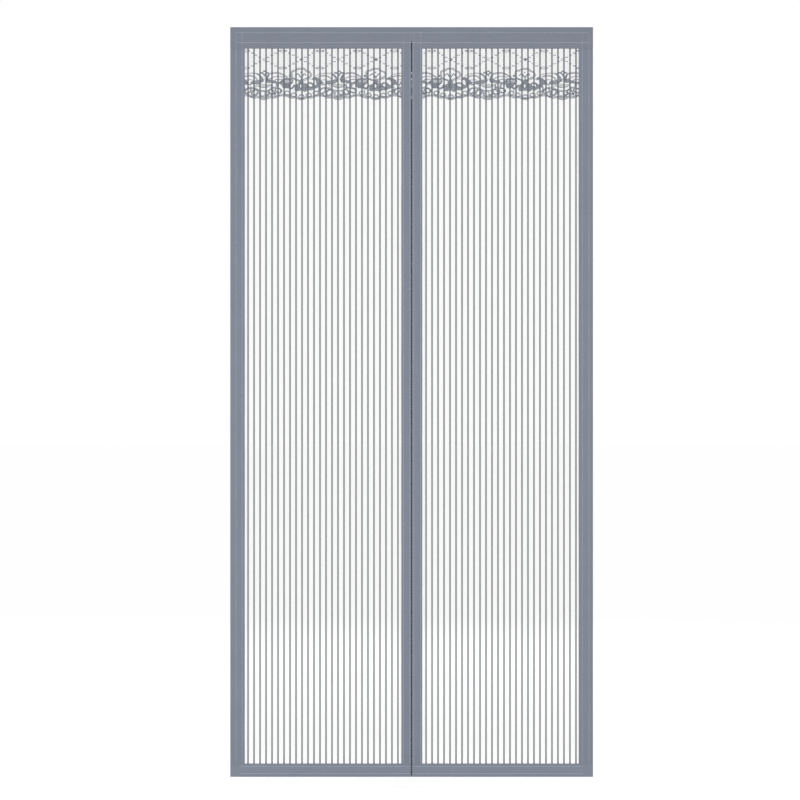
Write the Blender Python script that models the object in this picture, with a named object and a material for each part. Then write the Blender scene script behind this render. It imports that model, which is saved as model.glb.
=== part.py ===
"""Magnetic insect screen for a doorway: two striped net curtains hung side by side from one header.

Every edge of a curtain is bound with cloth. The header folds over the top of both curtains, an outer
binding folds round each jamb side, and a hem folds under each curtain. Along the slit in the middle each
curtain has a front and a back leaf of cloth with flexible magnets sewn between them, and the magnets'
dark edges show in the slit. A lace valance hangs in front of the net, under the header. Loop tape is sewn
on the back of the header and of the outer bindings, and adhesive hook tape behind it holds the screen to
the door frame.

Metres, +Z up, +X to the right as seen from the front, and the front faces -Y. The origin is the middle of
the adhesive face behind the header.
"""

import math

import bmesh
import bpy
from mathutils import Vector
from mathutils.geometry import delaunay_2d_cdt

# Outside size
HEIGHT = 2.100
WIDTH = 1.016

# Cloth that frames the net, as widths seen from the front
HEADER_DEPTH = 0.060
OUTER_BINDING = 0.040
INNER_BINDING = 0.028
HEM_DEPTH = 0.0375

# Thicknesses, and the clearance that is kept between layers
CLOTH = 0.0006
NET_STRIPE = 0.0006
NET_THREAD = 0.0003
NET_SELVEDGE = 0.0004
LACE = 0.0006
HOOK_TAPE = 0.0010
LOOP_TAPE = 0.0010
CLEAR = 0.0003

# The slit and its magnets
SLIT_GAP = 0.0003
MAGNET_REVEAL = 0.00135
MAGNET_WIDTH = 0.012
MAGNETS_PER_SIDE = 8
MAGNET_FOOT = 0.003
SLIT_START = 0.0404
MAGNET_TUCK = 0.003

# The net: stripes, cross threads, and how far it reaches into the bindings
STRIPE_PITCH = 0.0168
STRIPE_WIDTH = 0.0042
STRIPE_MARGIN = 0.0050
CROSS_THREADS = 1
CROSS_THREAD = 0.0012
NET_IN_OUTER = 0.030
NET_TO_MAGNET = 0.0014
NET_IN_HEADER = 0.052
NET_IN_HEM = 0.0235
GAP_OVERRUN = 0.005

# The lace valance
LACE_DROP = 0.1437
LACE_REPEAT = 0.2090
LACE_PHASE = 0.0044
LACE_IN_HEADER = 0.038
LACE_IN_OUTER = 0.012
LACE_BAND = 0.003
LACE_CORD = 0.0030
LACE_BOLD_CORD = 0.0042
LACE_FINE_CORD = 0.0022
LACE_EDGE_CORD = 0.0042

# Tapes behind the bindings
TAPE_WIDTH = 0.020
TAPE_DROP = 0.030
TAPE_END_MARGIN = 0.008

# Steel strip in the hem, beside the slit
WEIGHT_LENGTH = 0.080
WEIGHT_HEIGHT = 0.0055
WEIGHT_FROM_BINDING = 0.010

# Places that follow from the sizes
HALF = WIDTH / 2
TOP = TAPE_DROP
BOTTOM = TOP - HEIGHT
HEADER_EDGE = TOP - HEADER_DEPTH
HEM_EDGE = BOTTOM + HEM_DEPTH
REVEAL_EDGE = SLIT_GAP / 2 + MAGNET_REVEAL
OPENING_IN = REVEAL_EDGE + INNER_BINDING
OPENING_OUT = HALF - OUTER_BINDING

# Layers from the wall to the front, as Y of each layer's back face
HEADER_BACK = -(HOOK_TAPE + CLEAR + LOOP_TAPE + CLEAR)
BINDING_BACK = HEADER_BACK - CLOTH - CLEAR
NET_BACK = BINDING_BACK - CLOTH - CLEAR
LACE_BACK = NET_BACK - NET_STRIPE - CLEAR
BINDING_FRONT = LACE_BACK - LACE - CLEAR
HEADER_FRONT = BINDING_FRONT - CLOTH - CLEAR
FRONT = HEADER_FRONT - CLOTH
HEADER_RADIUS = (HEADER_BACK - FRONT) / 2
MAGNET_THICK = NET_BACK - (LACE_BACK - LACE)
SIDE_TOP = TOP - HEADER_RADIUS - CLEAR
SIDE_BOTTOM = BOTTOM + HEADER_RADIUS + CLEAR

FOLD_STEPS = 8
FOLD_ANGLE = math.radians(40)

# Lace drawing units: the drawing is 74.6 units a repeat and 51.3 units deep
UNITS_PER_REPEAT = 74.6
UNITS_DEEP = 51.3
UNIT_X = LACE_REPEAT / UNITS_PER_REPEAT
UNIT_Z = LACE_DROP / UNITS_DEEP
HALF_REPEAT = UNITS_PER_REPEAT / 2
SHELL_PETALS = 6
EDGE_LOOPS = 5
LOOP_SPACING = 6.2
EDGE_STEPS = 6
MERGE = 1e-6


def clear_scene():
    for item in list(bpy.data.objects):
        bpy.data.objects.remove(item, do_unlink=True)


def finish(name, colour, roughness, metallic=0.0):
    """A Principled material whose colour is given as sRGB levels from 0 to 255."""
    levels = [level / 255 for level in colour]
    linear = [v / 12.92 if v <= 0.04045 else ((v + 0.055) / 1.055) ** 2.4 for v in levels]
    material = bpy.data.materials.new(name)
    material.use_nodes = True
    shader = material.node_tree.nodes["Principled BSDF"]
    shader.inputs["Base Color"].default_value = (*linear, 1.0)
    shader.inputs["Roughness"].default_value = roughness
    shader.inputs["Metallic"].default_value = metallic
    material.diffuse_color = (*linear, 1.0)
    return material


def add_object(name, mesh_data, material):
    """Makes the mesh an object of the scene, with its faces turned outwards."""
    bmesh.ops.recalc_face_normals(mesh_data, faces=mesh_data.faces)
    mesh = bpy.data.meshes.new(name)
    mesh_data.to_mesh(mesh)
    mesh_data.free()
    thing = bpy.data.objects.new(name, mesh)
    bpy.context.scene.collection.objects.link(thing)
    if material:
        mesh.materials.append(material)
    return thing


def helper(thing):
    """Marks an object that only shapes another."""
    thing.hide_render = True
    thing.display_type = "WIRE"
    return thing


def boolean(thing, other, operation):
    modifier = thing.modifiers.new(other.name, "BOOLEAN")
    modifier.operation = operation
    modifier.solver = "EXACT"
    modifier.object = other


def add_box(mesh_data, low, high):
    """Adds a box between two corners to a bmesh."""
    made = bmesh.ops.create_cube(mesh_data, size=1.0)
    for vertex in made["verts"]:
        vertex.co = Vector(high[i] if vertex.co[i] > 0 else low[i] for i in range(3))


def box(name, low, high, material):
    mesh_data = bmesh.new()
    add_box(mesh_data, low, high)
    return add_object(name, mesh_data, material)


def span(side, near, far):
    """X limits, low first, of what lies from near to far out on one side of the slit."""
    return sorted((side * near, side * far))


def fold_outline(back, front, depth):
    """A strip of cloth folded in two, as (y, distance from the fold) points round its section."""
    middle = (back + front) / 2
    outer = (back - front) / 2
    turns = [math.pi * i / FOLD_STEPS for i in range(FOLD_STEPS + 1)]
    outline = [(back, depth)]
    outline += [(middle + outer * math.cos(t), outer - outer * math.sin(t)) for t in turns]
    outline += [(front, depth), (front + CLOTH, depth)]
    inner = outer - CLOTH
    outline += [(middle - inner * math.cos(t), outer - inner * math.sin(t)) for t in turns]
    outline.append((back - CLOTH, depth))
    return outline


def sweep(name, section, start, end, material):
    """Extrudes a section of 3-D points, given at start, straight to end."""
    mesh_data = bmesh.new()
    face = mesh_data.faces.new([mesh_data.verts.new(Vector(point) + Vector(start)) for point in section])
    moved = bmesh.ops.extrude_face_region(mesh_data, geom=[face], use_keep_orig=True)
    verts = [item for item in moved["geom"] if isinstance(item, bmesh.types.BMVert)]
    bmesh.ops.translate(mesh_data, verts=verts, vec=Vector(end) - Vector(start))
    thing = add_object(name, mesh_data, material)
    thing.data.shade_smooth()
    thing.data.set_sharp_from_angle(angle=FOLD_ANGLE)
    return thing


def make_header(material):
    """The cloth over both curtains' tops, notched where the magnets' edges run up into it."""
    section = [(0, y, TOP - depth) for y, depth in fold_outline(HEADER_BACK, FRONT, HEADER_DEPTH)]
    header = sweep("header_binding", section, (-HALF, 0, 0), (HALF, 0, 0), material)
    notch = box(
        "header_notch_cutter",
        (-REVEAL_EDGE, FRONT - CLOTH, HEADER_EDGE - CLOTH),
        (REVEAL_EDGE, HEADER_BACK + CLOTH, TOP - SLIT_START),
        None,
    )
    boolean(header, helper(notch), "DIFFERENCE")


def make_outer_binding(label, side, material):
    front = BINDING_FRONT - CLOTH
    section = [(side * (HALF - depth), y, 0) for y, depth in fold_outline(BINDING_BACK, front, OUTER_BINDING)]
    sweep(f"{label}_outer_binding", section, (0, 0, SIDE_BOTTOM), (0, 0, SIDE_TOP), material)


def make_inner_binding(label, side, material):
    """The two leaves of cloth beside the slit, which the magnets lie between."""
    near, far = span(side, REVEAL_EDGE, OPENING_IN)
    for leaf, back in (("front", BINDING_FRONT), ("back", BINDING_BACK)):
        low = (near, back - CLOTH, SIDE_BOTTOM)
        box(f"{label}_inner_binding_{leaf}", low, (far, back, SIDE_TOP), material)


def make_hem(label, side, material):
    section = [(0, y, BOTTOM + depth) for y, depth in fold_outline(HEADER_BACK, FRONT, HEM_DEPTH)]
    near, far = span(side, REVEAL_EDGE, HALF)
    sweep(f"{label}_hem_binding", section, (near, 0, 0), (far, 0, 0), material)


def stripe_centres():
    """Distances of the stripes' middles from the slit, spread evenly about the middle of the opening."""
    room = OPENING_OUT - OPENING_IN - 2 * STRIPE_MARGIN - STRIPE_WIDTH
    count = max(1, int(room / STRIPE_PITCH + MERGE) + 1)
    middle = (OPENING_IN + OPENING_OUT) / 2
    return [middle + (i - (count - 1) / 2) * STRIPE_PITCH for i in range(count)]


def make_net(label, side, material):
    """One curtain's net: a selvedge all round, stripes as ridges from top to bottom, and cross threads."""
    middle = NET_BACK - NET_STRIPE / 2
    near = SLIT_GAP / 2 + MAGNET_WIDTH + NET_TO_MAGNET
    far = OPENING_OUT + NET_IN_OUTER
    top = HEADER_EDGE + NET_IN_HEADER
    bottom = HEM_EDGE - NET_IN_HEM
    gap_top = HEADER_EDGE + GAP_OVERRUN
    gap_bottom = HEM_EDGE - GAP_OVERRUN
    left, right = span(side, near, far)
    net = box(f"{label}_net_panel", (left, middle - NET_SELVEDGE / 2, bottom),
              (right, middle + NET_SELVEDGE / 2, top), material)
    left, right = span(side, OPENING_IN - GAP_OVERRUN, OPENING_OUT + GAP_OVERRUN)
    window = box(f"{label}_net_window_cutter", (left, middle - NET_STRIPE, gap_bottom),
                 (right, middle + NET_STRIPE, gap_top), None)
    boolean(net, helper(window), "DIFFERENCE")
    ridges = bmesh.new()
    for centre in stripe_centres():
        left, right = span(side, centre - STRIPE_WIDTH / 2, centre + STRIPE_WIDTH / 2)
        low = (left, middle - NET_STRIPE / 2, bottom + GAP_OVERRUN)
        add_box(ridges, low, (right, middle + NET_STRIPE / 2, top - GAP_OVERRUN))
    boolean(net, helper(add_object(f"{label}_net_stripes", ridges, None)), "UNION")
    threads = bmesh.new()
    left, right = span(side, near + GAP_OVERRUN, far - GAP_OVERRUN)
    for row in range(1, CROSS_THREADS + 1):
        height = HEM_EDGE + (HEADER_EDGE - HEM_EDGE) * row / (CROSS_THREADS + 1)
        low = (left, middle - NET_THREAD / 2, height - CROSS_THREAD / 2)
        add_box(threads, low, (right, middle + NET_THREAD / 2, height + CROSS_THREAD / 2))
    boolean(net, helper(add_object(f"{label}_net_cross_threads", threads, None)), "UNION")


def rectangle(low, high):
    """The corners of a rectangle between two (x, z) corners."""
    return [Vector(low), Vector((high[0], low[1])), Vector(high), Vector((low[0], high[1]))]


def oval(u, v, across, down, steps):
    """Points round an oval, as drawing units."""
    turns = [2 * math.pi * (i + 0.5) / steps for i in range(steps)]
    return [(u + across * math.cos(t), v + down * math.sin(t)) for t in turns]


def arch(u, v, across, up, start, end, steps):
    """Points along an arc over a centre, from one angle to another, in degrees from +u over the top."""
    turns = [math.radians(start + (end - start) * i / steps) for i in range(steps + 1)]
    return [(u + across * math.cos(t), v - up * math.sin(t)) for t in turns]


class Drawing:
    """Flat lace, drawn in units from a motif's middle and from the header's edge, kept in metres."""

    def __init__(self):
        self.faces = []
        self.centre = 0.0

    def place(self, point):
        return Vector((self.centre + point[0] * UNIT_X, HEADER_EDGE - point[1] * UNIT_Z))

    def patch(self, points):
        """A filled shape."""
        self.faces.append([self.place(point) for point in points])

    def cord(self, points, width, closed=False):
        """A cord of even width along points, kept as one small face for each stretch."""
        line = [self.place(point) for point in points]
        count = len(line)
        sides = []
        for i, point in enumerate(line):
            before = line[i - 1] if closed or i else point
            after = line[(i + 1) % count] if closed or i < count - 1 else point
            into = (point - before).normalized() if (point - before).length > MERGE else None
            out = (after - point).normalized() if (after - point).length > MERGE else None
            into = into or out
            out = out or into
            along = (into + out).normalized()
            across = Vector((-along.y, along.x))
            lean = max(0.5, across.dot(Vector((-into.y, into.x))))
            sides.append((point + across * width / 2 / lean, point - across * width / 2 / lean))
        for i in range(count if closed else count - 1):
            (a, b), (c, d) = sides[i], sides[(i + 1) % count]
            self.faces.append([a, b, d, c])


def draw_palmette(lace):
    """Two arched leaves beside a small crown, a swag, a bowl of two arcs and a shell of petals."""
    crown = [(0, 20.8), (2, 22.8), (4.4, 23.6), (2.4, 27.4), (1, 32)]
    crown += [(-u, v) for u, v in reversed(crown[1:])]
    lace.patch(crown)
    for mirror in (-1, 1):
        leaf = [(2.8, 33), (5.2, 26.6), (10, 23.4), (16.4, 23.8), (20.8, 27.6), (21.8, 33)]
        lace.cord([(mirror * u, v) for u, v in leaf], LACE_CORD)
        vein = [(6.6, 33), (9.6, 28.2), (15.4, 27.8), (18.6, 33)]
        lace.cord([(mirror * u, v) for u, v in vein], LACE_CORD)
        swag = [(0, 31.4), (22.4, 31.4), (22.4, 34.8), (12, 36.2), (0, 34.6)]
        lace.patch([(mirror * u, v) for u, v in swag])
    lace.cord(arch(0, 34, 8.8, 5.8, 180, 360, 5), LACE_BOLD_CORD)
    lace.patch(arch(0, 34, 5.4, 3.4, 180, 360, 4))
    for petal in range(SHELL_PETALS):
        turn = math.radians(14 + 152 * petal / (SHELL_PETALS - 1))
        u, v = 14.6 * math.cos(turn), 35.7 + 10 * math.sin(turn)
        lace.cord(oval(u, v, 2.9, 3.0, 6), LACE_BOLD_CORD, closed=True)


def draw_rose(lace):
    """An arched cap with a fan inside, over a dense cluster of a rose, a bud leaf and a curled leaf."""
    cap = [(-8, 33), (-10, 27.4), (-8.2, 22.8), (-3.6, 19.8), (3.6, 19.8), (8.2, 22.8), (10, 27.4), (8, 33)]
    lace.cord(cap, LACE_CORD)
    fan = [(7.6, 34.6), (6.6, 29.6), (3.8, 29), (2.6, 26.2), (0, 24.8)]
    lace.patch(fan + [(-u, v) for u, v in reversed(fan[:-1])])
    lace.patch(oval(-14.6, 34.9, 7.2, 4.2, 8))
    lace.cord(oval(1.4, 37.6, 4.8, 2.7, 7), LACE_BOLD_CORD, closed=True)
    curled = [(5, 33.6), (9.6, 30.8), (15.6, 31), (18.6, 34), (14, 36.6), (8, 37)]
    lace.cord(curled, LACE_BOLD_CORD, closed=True)
    lace.cord([(-13, 38), (-7, 40.6), (0, 41.8), (7, 41.2), (13, 39.2), (18.6, 36)], LACE_BOLD_CORD)
    for loop in range(EDGE_LOOPS):
        u = LOOP_SPACING * (loop - (EDGE_LOOPS - 1) / 2)
        lace.cord(oval(u, edge_depth(u) - 3.9, 2.9, 2.7, 6), LACE_CORD, closed=True)


def edge_depth(u):
    """Depth of the scalloped lower edge, lowest under the middle of each motif."""
    return UNITS_DEEP - 1.9 + 1.3 * math.cos(2 * math.pi * u / HALF_REPEAT)


def draw_hexagon(lace):
    """One long hexagon of the sheer zone, from a motif's middle to the next, and the bars that hold it."""
    high, low, crossing = 1.8, 19.3, 10.8
    middle = HALF_REPEAT / 2
    flat = 3.6
    for level in (high, low):
        lace.cord([(0, crossing), (middle - flat, level), (middle + flat, level), (HALF_REPEAT, crossing)],
                  LACE_CORD)
    lace.patch(oval(0, crossing, 1.9, 1.7, 6))
    lace.cord([(middle, -1), (middle, high)], LACE_CORD)
    lace.cord([(middle, low), (middle, 32)], LACE_FINE_CORD)


def joined_faces(faces, low, high):
    """Triangles of the union of some faces inside a rectangle, and all their points."""
    points = []
    loops = []
    for face in [*faces, rectangle(low, high)]:
        turn = sum(a.x * b.y - b.x * a.y for a, b in zip(face, face[1:] + face[:1]))
        loops.append(list(range(len(points), len(points) + len(face))))
        points += face if turn > 0 else face[::-1]
    crop = len(loops) - 1
    verts, _, found, _, _, sources = delaunay_2d_cdt(points, [], loops, 1, MERGE, True)
    kept = [face for face, source in zip(found, sources) if crop in source and len(source) > 1]
    return verts, kept


def boundary_of(faces):
    """The directed edges of some faces that no neighbour shares."""
    edges = {(a, b) for face in faces for a, b in zip(face, face[1:] + face[:1])}
    return [(a, b) for a, b in sorted(edges) if (b, a) not in edges]


def flat_solid(name, faces, low, high, back, thickness, material):
    """A flat piece of one thickness, whose outline is the union of some faces inside a rectangle."""
    faces = list(faces)
    for _ in range(4):
        verts, kept = joined_faces(faces, low, high)
        edges = boundary_of(kept)
        starts = [a for a, _ in edges]
        pinched = sorted({a for a in starts if starts.count(a) > 1})
        if not pinched:
            break
        for index in pinched:
            centre = verts[index]
            turns = [math.pi * i / 4 for i in range(8)]
            faces.append([centre + Vector((math.cos(t), math.sin(t))) * CLOTH for t in turns])
    mesh_data = bmesh.new()
    used = sorted({index for face in kept for index in face})
    front = {i: mesh_data.verts.new((verts[i].x, back - thickness, verts[i].y)) for i in used}
    rear = {i: mesh_data.verts.new((verts[i].x, back, verts[i].y)) for i in used}
    for face in kept:
        mesh_data.faces.new([front[i] for i in face])
        mesh_data.faces.new([rear[i] for i in reversed(face)])
    for a, b in edges:
        mesh_data.faces.new([front[b], front[a], rear[a], rear[b]])
    return add_object(name, mesh_data, material)


def make_lace(label, side, material):
    """One curtain's share of the valance. The pattern runs on across the slit."""
    near = SLIT_GAP / 2 + MAGNET_WIDTH + NET_TO_MAGNET
    far = OPENING_OUT + LACE_IN_OUTER
    left, right = span(side, near, far)
    top = HEADER_EDGE + LACE_IN_HEADER
    lace = Drawing()
    half = LACE_REPEAT / 2
    first = math.floor((left - LACE_PHASE) / half) - 1
    last = math.ceil((right - LACE_PHASE) / half) + 1
    for index in range(first, last + 1):
        lace.centre = LACE_PHASE + index * half
        (draw_rose if index % 2 else draw_palmette)(lace)
        draw_hexagon(lace)
        edge = [(HALF_REPEAT * i / EDGE_STEPS, edge_depth(HALF_REPEAT * i / EDGE_STEPS) - 0.75)
                for i in range(-EDGE_STEPS // 2, EDGE_STEPS // 2 + 1)]
        lace.cord(edge, LACE_EDGE_CORD)
    low = HEADER_EDGE - LACE_DROP
    foot = HEADER_EDGE - (edge_depth(HALF_REPEAT / 2) - 1) * UNIT_Z
    faces = [*lace.faces, rectangle((left, HEADER_EDGE + LACE_BAND), (right, top))]
    for tucked_from, tucked_to in ((near, OPENING_IN - LACE_BAND), (OPENING_OUT + LACE_BAND, far)):
        a, b = span(side, tucked_from, tucked_to)
        faces.append(rectangle((a, foot), (b, top)))
    flat_solid(f"{label}_lace_valance", faces, (left, low), (right, top), LACE_BACK, LACE, material)


def make_magnets(label, side, material):
    """The flexible magnets of one side, in equal lengths laid end to end."""
    top = TOP - SLIT_START + MAGNET_TUCK
    bottom = BOTTOM + MAGNET_FOOT
    length = (top - bottom - CLEAR * (MAGNETS_PER_SIDE - 1)) / MAGNETS_PER_SIDE
    near, far = span(side, SLIT_GAP / 2, SLIT_GAP / 2 + MAGNET_WIDTH)
    for i in range(MAGNETS_PER_SIDE):
        high = top - i * (length + CLEAR)
        box(f"{label}_magnet_strip_{i + 1}", (near, NET_BACK - MAGNET_THICK, high - length),
            (far, NET_BACK, high), material)


def make_tapes(loop_material, hook_material):
    """Loop tape sewn on the cloth's back, and hook tape behind it, along the header and both jamb sides."""
    reach = HALF - TAPE_END_MARGIN
    for name, back, thick, material in (
        ("header_loop_tape", -HOOK_TAPE - CLEAR, LOOP_TAPE, loop_material),
        ("header_hook_tape", 0.0, HOOK_TAPE, hook_material),
    ):
        box(name, (-reach, back - thick, -TAPE_WIDTH / 2), (reach, back, TAPE_WIDTH / 2), material)
    side_loop = -HOOK_TAPE - CLEAR - (BINDING_BACK + CLEAR)
    centre = HALF - OUTER_BINDING / 2
    low, high = HEM_EDGE + CLEAR, HEADER_EDGE - CLEAR
    for label, side in (("left", -1), ("right", 1)):
        near, far = span(side, centre - TAPE_WIDTH / 2, centre + TAPE_WIDTH / 2)
        for name, back, thick, material in (
            ("loop_tape", -HOOK_TAPE - CLEAR, side_loop, loop_material),
            ("hook_tape", 0.0, HOOK_TAPE, hook_material),
        ):
            box(f"{label}_{name}", (near, back - thick, low), (far, back, high), material)


def make_hem_weight(label, side, material):
    """A steel strip loose in the fold of the hem, clear of the inner binding."""
    start = OPENING_IN + WEIGHT_FROM_BINDING
    near, far = span(side, start, start + WEIGHT_LENGTH)
    back = HEADER_BACK - CLOTH - CLEAR
    front = FRONT + CLOTH + CLEAR
    box(f"{label}_hem_weight", (near, front, SIDE_BOTTOM), (far, back, SIDE_BOTTOM + WEIGHT_HEIGHT), material)


def main():
    clear_scene()
    cloth = finish("binding_cloth", (131, 138, 150), 0.85)
    net = finish("striped_net", (125, 130, 132), 0.85)
    lace = finish("lace", (128, 134, 145), 0.80)
    magnet = finish("magnet_rubber", (58, 62, 70), 0.65)
    loop = finish("loop_tape", (131, 138, 150), 0.95)
    hook = finish("hook_tape", (120, 126, 138), 0.55)
    steel = finish("weight_steel", (170, 172, 175), 0.35, 1.0)
    make_header(cloth)
    make_tapes(loop, hook)
    for label, side in (("left", -1), ("right", 1)):
        make_outer_binding(label, side, cloth)
        make_inner_binding(label, side, cloth)
        make_hem(label, side, cloth)
        make_net(label, side, net)
        make_lace(label, side, lace)
        make_magnets(label, side, magnet)
        make_hem_weight(label, side, steel)


main()
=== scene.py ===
"""Looks of a magnetic insect screen that hangs in a doorway.

Two striped net curtains hang under one header. Cloth binds every edge, a lace valance hangs in front
of each net and magnets close the slit between the curtains. The screen faces -Y, +Z is up, and all
lengths are in metres.
"""
import math

import bpy
import numpy as np
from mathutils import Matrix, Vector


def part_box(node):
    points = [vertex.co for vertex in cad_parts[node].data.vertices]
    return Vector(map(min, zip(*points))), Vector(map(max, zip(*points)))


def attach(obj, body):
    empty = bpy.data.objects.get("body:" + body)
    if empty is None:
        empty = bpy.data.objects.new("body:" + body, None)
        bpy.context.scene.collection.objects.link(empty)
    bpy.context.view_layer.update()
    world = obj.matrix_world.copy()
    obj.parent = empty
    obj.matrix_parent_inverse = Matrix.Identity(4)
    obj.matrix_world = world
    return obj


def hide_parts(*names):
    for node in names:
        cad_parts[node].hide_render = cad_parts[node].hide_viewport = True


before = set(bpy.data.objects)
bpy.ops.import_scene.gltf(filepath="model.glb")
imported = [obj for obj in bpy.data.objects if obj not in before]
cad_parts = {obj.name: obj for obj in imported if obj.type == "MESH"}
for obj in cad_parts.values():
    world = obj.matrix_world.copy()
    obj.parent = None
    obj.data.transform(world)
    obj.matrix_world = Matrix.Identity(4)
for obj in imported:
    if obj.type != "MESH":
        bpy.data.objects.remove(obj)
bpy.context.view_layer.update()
BOX = {node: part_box(node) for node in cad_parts}

SIDES = {"left": -1, "right": 1}

# Sizes that the frame gives
HALF = BOX["right_outer_binding"][1].x
TOP = BOX["header_binding"][1].z
BOTTOM = BOX["left_hem_binding"][0].z
HEADER_EDGE = BOX["header_binding"][0].z
HEM_EDGE = BOX["left_hem_binding"][1].z
FRONT = BOX["header_binding"][0].y
HEADER_BACK = BOX["header_binding"][1].y
BINDING_FRONT = BOX["right_outer_binding"][0].y
BINDING_BACK = BOX["right_outer_binding"][1].y
OPENING_OUT = BOX["right_outer_binding"][0].x
OPENING_IN = BOX["right_inner_binding_front"][1].x

# The cloth, its fold and the slit that runs up into the header
CLOTH = 0.0006
SLIT_TOP = -0.0104
SLIT_EDGE = {"left": 0.0019, "right": 0.0012}
INNER_EDGE = {"left": 0.0290, "right": 0.0299}
OUTER_EDGE = {"left": 0.4674, "right": 0.4680}
HEM_DEPTH = 0.0371
FOLD_STEPS = 3
FOLD_CORNER = 0.0012
COLUMN = 0.004
STATION = 0.0055

# Rows of stitches, measured on the photo, and how the cloth dips, puckers and swells round them
HEADER_ROWS = (0.0143, -0.0134)
HEADER_ROW_END = 0.494
OUTER_ROWS = {"left": (0.4919, 0.4751), "right": (0.4967, 0.4780)}
INNER_ROWS = {"left": (0.0229, 0.0046), "right": (0.0252, 0.0062)}
HEM_ROWS = (-2.0408, -2.0603)
HEM_ROW_START = 0.003
HEM_ROW_END = 0.480
HEM_TOE = 0.0030
STITCH_PITCH = 0.0040
STITCH_LENGTH = 0.0032
STITCH_RADIUS = 0.00044
STITCH_SHOULDER = 0.62
STITCH_SUNK = 0.6
STITCH_DIP = 0.8
STITCH_SLANT = 0.00007
SLANT_CHANGE = 977.0
GROOVE = 0.00018
GROOVE_WIDTH = 0.0009
PUCKER = 0.00012
PUCKER_WIDTH = 0.0040
PILLOW = 0.00022
EDGE_WAVE = 0.00022

# Magnets, weights, and the tacks across the slit as middle, height and thread pitch
MAGNET_GAP = 0.00004
MAGNET_GROWTH = 0.0001
MAGNET_ROUNDING = 0.0002
WEIGHT_ROUNDING = 0.0003
TACKS = ((-0.0983, 0.0040, 0.0005), (-0.1068, 0.0110, 0.0044), (-0.1157, 0.0046, 0.00058),
         (-0.1294, 0.0220, 0.0020), (-0.1518, 0.0220, 0.0048), (-0.1672, 0.0085, 0.0011))
TACK_REACH = 0.0024
TACK_RADIUS = 0.0002

# Tapes: the thin woven edge, its share of the depth, and steps in and down of the pile's shoulder
TAPE_EDGE = 0.0016
TAPE_EDGE_SHARE = 0.45
TAPE_SHOULDER = ((0.0003, 0.0001), (0.0008, 0.0))

# The net
STRIPE_PITCH = 0.0168
STRIPE_WIDTH = 0.0042
STRIPES = 26
FIRST_STRIPE = 0.03875
STRIPE_SHIFT = {"left": -0.00045, "right": 0.0016}
STRIPE_CORDS = 6
CORD_DEPTH = 0.00024
VALLEY_SHARE = 0.6
RIM_SHARE = 0.3
THREADS_IN_GAP = 7
THREAD = 0.00013
CROSS_PITCH = 0.0016
BELLY = 0.0015

# The lace, drawn in units of which one repeat of two motifs takes 74.6
LACE_REPEAT = 0.2090
LACE_PHASE = 0.0044
UNITS_PER_REPEAT = 74.6
UNIT = LACE_REPEAT / UNITS_PER_REPEAT
HALF_REPEAT = UNITS_PER_REPEAT / 2
PILLAR_PITCH = 0.0015
PILLAR = 0.00006
DIAGONAL_PITCH = 0.0045
DIAGONAL = 0.00006
LATTICE_MIDDLE = 10.9
LATTICE_REACH = 8.6
LATTICE_START = 0.4
LATTICE_STEP = (3.75, 2.15)
HEXAGON_SLOPE = 2.15 / 3.7
LOWEST_LOBE = 51.4
LACE_MARGIN = 0.0006
STRAND_PITCH = 0.5
STRAND_LIFT = 0.0001
STRAND_HEIGHT = 0.0003
STRAND_SIDES = 5
ROW_PITCH = 0.5
ROW_HEIGHT = 0.00022
EDGE_LOBES = ((0.0, 2.0, 3.8, 5.2, 6.3, 7.4, 9.2, 11.0, 12.6, 14.4, 16.4, 18.7),
              (51.6, 51.3, 50.6, 49.8, 49.5, 49.7, 50.0, 49.8, 49.2, 48.5, 47.9, 47.6))
EDGE_STRANDS = ((0.2, 0.45), (0.9, 0.4), (1.6, 0.4), (2.3, 0.25))

# The photo's frame at the screen, and the camera's distance
PHOTO_WIDTH = 2.2404
PHOTO_RIGHT = -0.0326
PHOTO_UP = -1.0144
CAMERA_DISTANCE = 8.0
SENSOR = 36.0

# The stage; each lamp's place is given from the middle of the screen
FLOOR_SIZE = 60.0
FLOOR_DROP = 0.02
FLOOR_ALBEDO = 0.8
FLOOR_LIFT = (0.425, 0.35)
LIFT_DISTANCE = (0.4, 1.2)
WORLD_STRENGTH = (0.80, 1.0)
LAMPS = (("front_lamp", (-0.6, -4.4, 0.1), 2.0, 44.0), ("back_lamp", (0.6, 5.0, 1.8), 2.0, 22.0))


def srgb(red, green, blue):
    """Linear colour of sRGB levels from 0 to 255."""
    levels = [level / 255 for level in (red, green, blue)]
    return tuple(v / 12.92 if v <= 0.04045 else ((v + 0.055) / 1.055) ** 2.4 for v in levels)


def add_node(tree, kind, inputs=None, **settings):
    """Adds a node to a tree; each input is a value or the socket that feeds it."""
    node = tree.nodes.new(kind)
    for key, value in settings.items():
        setattr(node, key, value)
    for socket, value in (inputs or {}).items():
        if isinstance(value, bpy.types.NodeSocket):
            tree.links.new(value, node.inputs[socket])
        else:
            node.inputs[socket].default_value = value
    return node


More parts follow.
